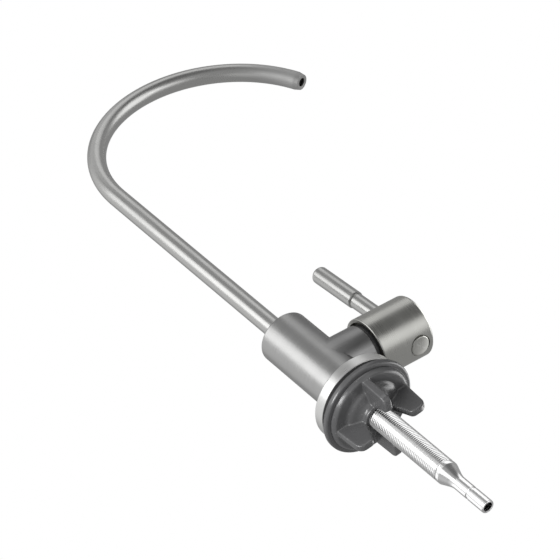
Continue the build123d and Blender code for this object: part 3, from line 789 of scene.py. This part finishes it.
def makeFloor():
    bm = bmesh.new()
    bmesh.ops.create_grid(bm, x_segments=1, y_segments=1, size=studio["floorSize"])
    bmesh.ops.translate(bm, vec=(0, 0, cadBox[0][2] - studio["floorGap"] * mm), verts=bm.verts[:])
    floor = meshObject(bm, "studioFloor")
    material = bpy.data.materials.new("paleFloor")
    material.use_nodes = True
    nodes, links = material.node_tree.nodes, material.node_tree.links
    shader = nodes["Principled BSDF"]
    shader.inputs["Base Color"].default_value = (*studio["floorColour"], 1.0)
    shader.inputs["Roughness"].default_value = studio["floorRoughness"]
    geometry = nodes.new("ShaderNodeNewGeometry")
    clear = nodes.new("ShaderNodeBsdfTransparent")
    mix = nodes.new("ShaderNodeMixShader")
    links.new(geometry.outputs["Backfacing"], mix.inputs[0])
    links.new(shader.outputs[0], mix.inputs[1])
    links.new(clear.outputs[0], mix.inputs[2])
    links.new(mix.outputs[0], nodes["Material Output"].inputs["Surface"])
    floor.data.materials.append(material)
    floor.visible_shadow = False
    floor.visible_glossy = False
    floor.visible_diffuse = False


def softPatch(nodes, links, direction, towards, inner, outer, strength):
    # a soft-edged patch of light in the surround, between two angles from its centre
    facing = nodes.new("ShaderNodeVectorMath")
    facing.operation = "DOT_PRODUCT"
    links.new(direction, facing.inputs[0])
    facing.inputs[1].default_value = Vector(towards).normalized()
    fade = nodes.new("ShaderNodeMapRange")
    fade.interpolation_type = "SMOOTHERSTEP"
    links.new(facing.outputs["Value"], fade.inputs["Value"])
    fade.inputs["From Min"].default_value = math.cos(math.radians(outer))
    fade.inputs["From Max"].default_value = math.cos(math.radians(inner))
    fade.inputs["To Max"].default_value = strength
    return fade.outputs["Result"]


def makeSurround():
    world = bpy.data.worlds.new("studioSurround")
    bpy.context.scene.world = world
    world.use_nodes = True
    nodes, links = world.node_tree.nodes, world.node_tree.links
    direction = nodes.new("ShaderNodeTexCoord").outputs["Generated"]
    light = nodes["Background"]
    light.inputs["Color"].default_value = (1.0, 1.0, 1.0, 1.0)
    total = studio["surround"]
    for patch in studio["patches"]:
        total = mathNode(nodes, links, "ADD", softPatch(nodes, links, direction, **patch), total)
    links.new(total, light.inputs["Strength"])
    white = nodes.new("ShaderNodeBackground")
    white.inputs["Color"].default_value = (1.0, 1.0, 1.0, 1.0)
    white.inputs["Strength"].default_value = 1.0
    path = nodes.new("ShaderNodeLightPath")
    mix = nodes.new("ShaderNodeMixShader")
    links.new(path.outputs["Is Camera Ray"], mix.inputs[0])
    links.new(light.outputs[0], mix.inputs[1])
    links.new(white.outputs[0], mix.inputs[2])
    links.new(mix.outputs[0], nodes["World Output"].inputs["Surface"])


def makeLamp(name, direction, distance, size, strength, spread=180, target=(0.02, 0, 0.08), only=()):
    # a lamp with names in only lights those pieces alone
    lampData = bpy.data.lights.new(name, "AREA")
    lampData.shape = "RECTANGLE"
    lampData.size, lampData.size_y = size
    lampData.energy = strength
    lampData.spread = math.radians(spread)
    lamp = bpy.data.objects.new(name, lampData)
    away = Vector(direction).normalized()
    lamp.location = Vector(target) + away * distance
    lamp.rotation_euler = away.to_track_quat("Z", "Y").to_euler()
    lamp.visible_camera = False
    if only:
        lit = bpy.data.collections.new(name + "Lit")
        for piece in only:
            lit.objects.link(bpy.data.objects[piece])
        lamp.light_linking.receiver_collection = lit
    bpy.context.scene.collection.objects.link(lamp)


def makeFloorLight():
    # lifts the floor alone to a pale tone; the object still throws its shadow
    sun = bpy.data.objects.new("floorLight", bpy.data.lights.new("floorLight", "SUN"))
    sun.data.energy = studio["floorLight"]
    sun.data.angle = math.radians(studio["floorLightAngle"])
    sun.rotation_euler = Vector(studio["floorLightTowards"]).to_track_quat("Z", "Y").to_euler()
    lit = bpy.data.collections.new("floorLit")
    lit.objects.link(bpy.data.objects["studioFloor"])
    sun.light_linking.receiver_collection = lit
    bpy.context.scene.collection.objects.link(sun)


makeFloor()
makeFloorLight()
makeSurround()

# Lamps by name: direction from the target, distance and size in metres, strength in watts
plasticPieces = ("wingNut", "clampWasher")
shankPiece = ("threadedShank",)
deckPieces = (*shankPiece, *plasticPieces, "baseGasket")
tubePiece = ("spoutTube",)
plugPiece = ("capPlug",)
capPieces = ("handleCap", *plugPiece)
lamps = {
    "leftSoftbox": {"direction": (-0.785, -0.455, 0.42), "distance": 1.0, "size": (0.7, 0.9),
                    "strength": 2.4},
    "topSoftbox": {"direction": (0.449, -0.604, 0.656), "distance": 1.0, "size": (0.5, 0.5),
                   "strength": 0.42},
    "frontSoftbox": {"direction": (0.4278, -0.5415, -0.7239), "distance": 0.4, "size": (0.3, 0.3),
                     "strength": 0.058, "spread": 90, "target": (0.036, -0.014, 0.02)},
    "lowSoftbox": {"direction": (-0.33, -0.42, -0.86), "distance": 0.5, "size": (0.4, 0.4),
                   "strength": 0.34, "target": (0, 0, -0.05), "only": deckPieces},
    "plasticRim": {"direction": (-0.85, -0.47, -0.2), "distance": 0.6, "size": (0.2, 0.6),
                   "strength": 5.5, "target": (0, 0, -0.01), "only": plasticPieces},
    "plasticFace": {"direction": (0.15, -0.97, 0.1), "distance": 0.5, "size": (0.3, 0.3),
                    "strength": 0.5, "target": (0, 0, -0.01), "only": plasticPieces},
    "plasticRight": {"direction": (0.88, 0.36, -0.38), "distance": 0.25, "size": (0.18, 0.18),
                     "strength": 0.42, "target": (0, 0, -0.01), "only": plasticPieces},
    "capSide": {"direction": (0.95, -0.05, 0.0), "distance": 0.3, "size": (0.3, 0.3),
                "strength": 0.6, "target": (0.04, 0, 0.03), "only": capPieces},
    "arcSide": {"direction": (0.74, -0.40, -0.52), "distance": 0.5, "size": (0.42, 0.40),
                "strength": 0.56, "target": (0.054, 0, 0.263), "only": tubePiece},
    "arcAbove": {"direction": (0.10, -0.42, 0.90), "distance": 0.5, "size": (0.35, 0.35),
                 "strength": 0.10, "target": (0.012, 0, 0.232), "only": tubePiece},
    "plugSide": {"direction": (0.88, 0.43, -0.2), "distance": 0.3, "size": (0.35, 0.35),
                 "strength": 0.26, "target": (0.042, 0, 0.01), "only": plugPiece},
    "shankFront": {"direction": (-0.37, -0.53, -0.75), "distance": 0.5, "size": (0.35, 0.35),
                   "strength": 0.30, "target": (0, 0, -0.06), "only": shankPiece},
    "shankRight": {"direction": (0.618, -0.433, 0.656), "distance": 0.5, "size": (0.35, 0.5),
                   "strength": 0.42, "target": (0, 0, -0.05), "only": shankPiece},
    "shankMiddle": {"direction": (-0.31, -0.69, 0.656), "distance": 0.5, "size": (0.2, 0.35),
                    "strength": 0.10, "target": (0, 0, -0.05), "only": shankPiece},
    "shankBelow": {"direction": (0.60, -0.12, -0.79), "distance": 0.45, "size": (0.30, 0.30),
                   "strength": 0.25, "target": (0, 0, -0.05), "only": shankPiece},
    "shankLeft": {"direction": (-0.40, 0.15, -0.90), "distance": 0.45, "size": (0.30, 0.30),
                  "strength": 0.32, "target": (0, 0, -0.05), "only": shankPiece},
    "coneFront": {"direction": (-0.80, -0.58, 0.02), "distance": 0.5, "size": (0.35, 0.30),
                  "strength": 0.30, "target": (0, 0, -0.06), "only": shankPiece},
    "shankBack": {"direction": (-0.62, 0.43, 0.656), "distance": 0.5, "size": (0.4, 0.4),
                  "strength": 0.24, "target": (0, 0, -0.05), "only": shankPiece}}
for name, values in lamps.items():
    makeLamp(name, **values)


# Camera: long lens, below the deck line, rolled as the photograph is

photoCamera = {
    "place": (-0.4749, -0.7250, -0.6668), "right": (0.8074, 0.0623, -0.5867),
    "up": (0.4064, -0.7796, 0.4765), "sensorWidth": 36.0, "lens": 160.7, "clipStart": 0.01}


def makeCamera():
    camera = bpy.data.objects.new("photoCamera", bpy.data.cameras.new("photoCamera"))
    right, up = Vector(photoCamera["right"]), Vector(photoCamera["up"])
    turn = Matrix((right, up, right.cross(up))).transposed().to_4x4()
    camera.matrix_world = Matrix.Translation(photoCamera["place"]) @ turn
    camera.data.sensor_width = photoCamera["sensorWidth"]
    camera.data.lens = photoCamera["lens"]
    camera.data.clip_start = photoCamera["clipStart"]
    bpy.context.scene.collection.objects.link(camera)
    bpy.context.scene.camera = camera


makeCamera()
bpy.context.scene.view_settings.view_transform = "Standard"
print("studio and camera made")
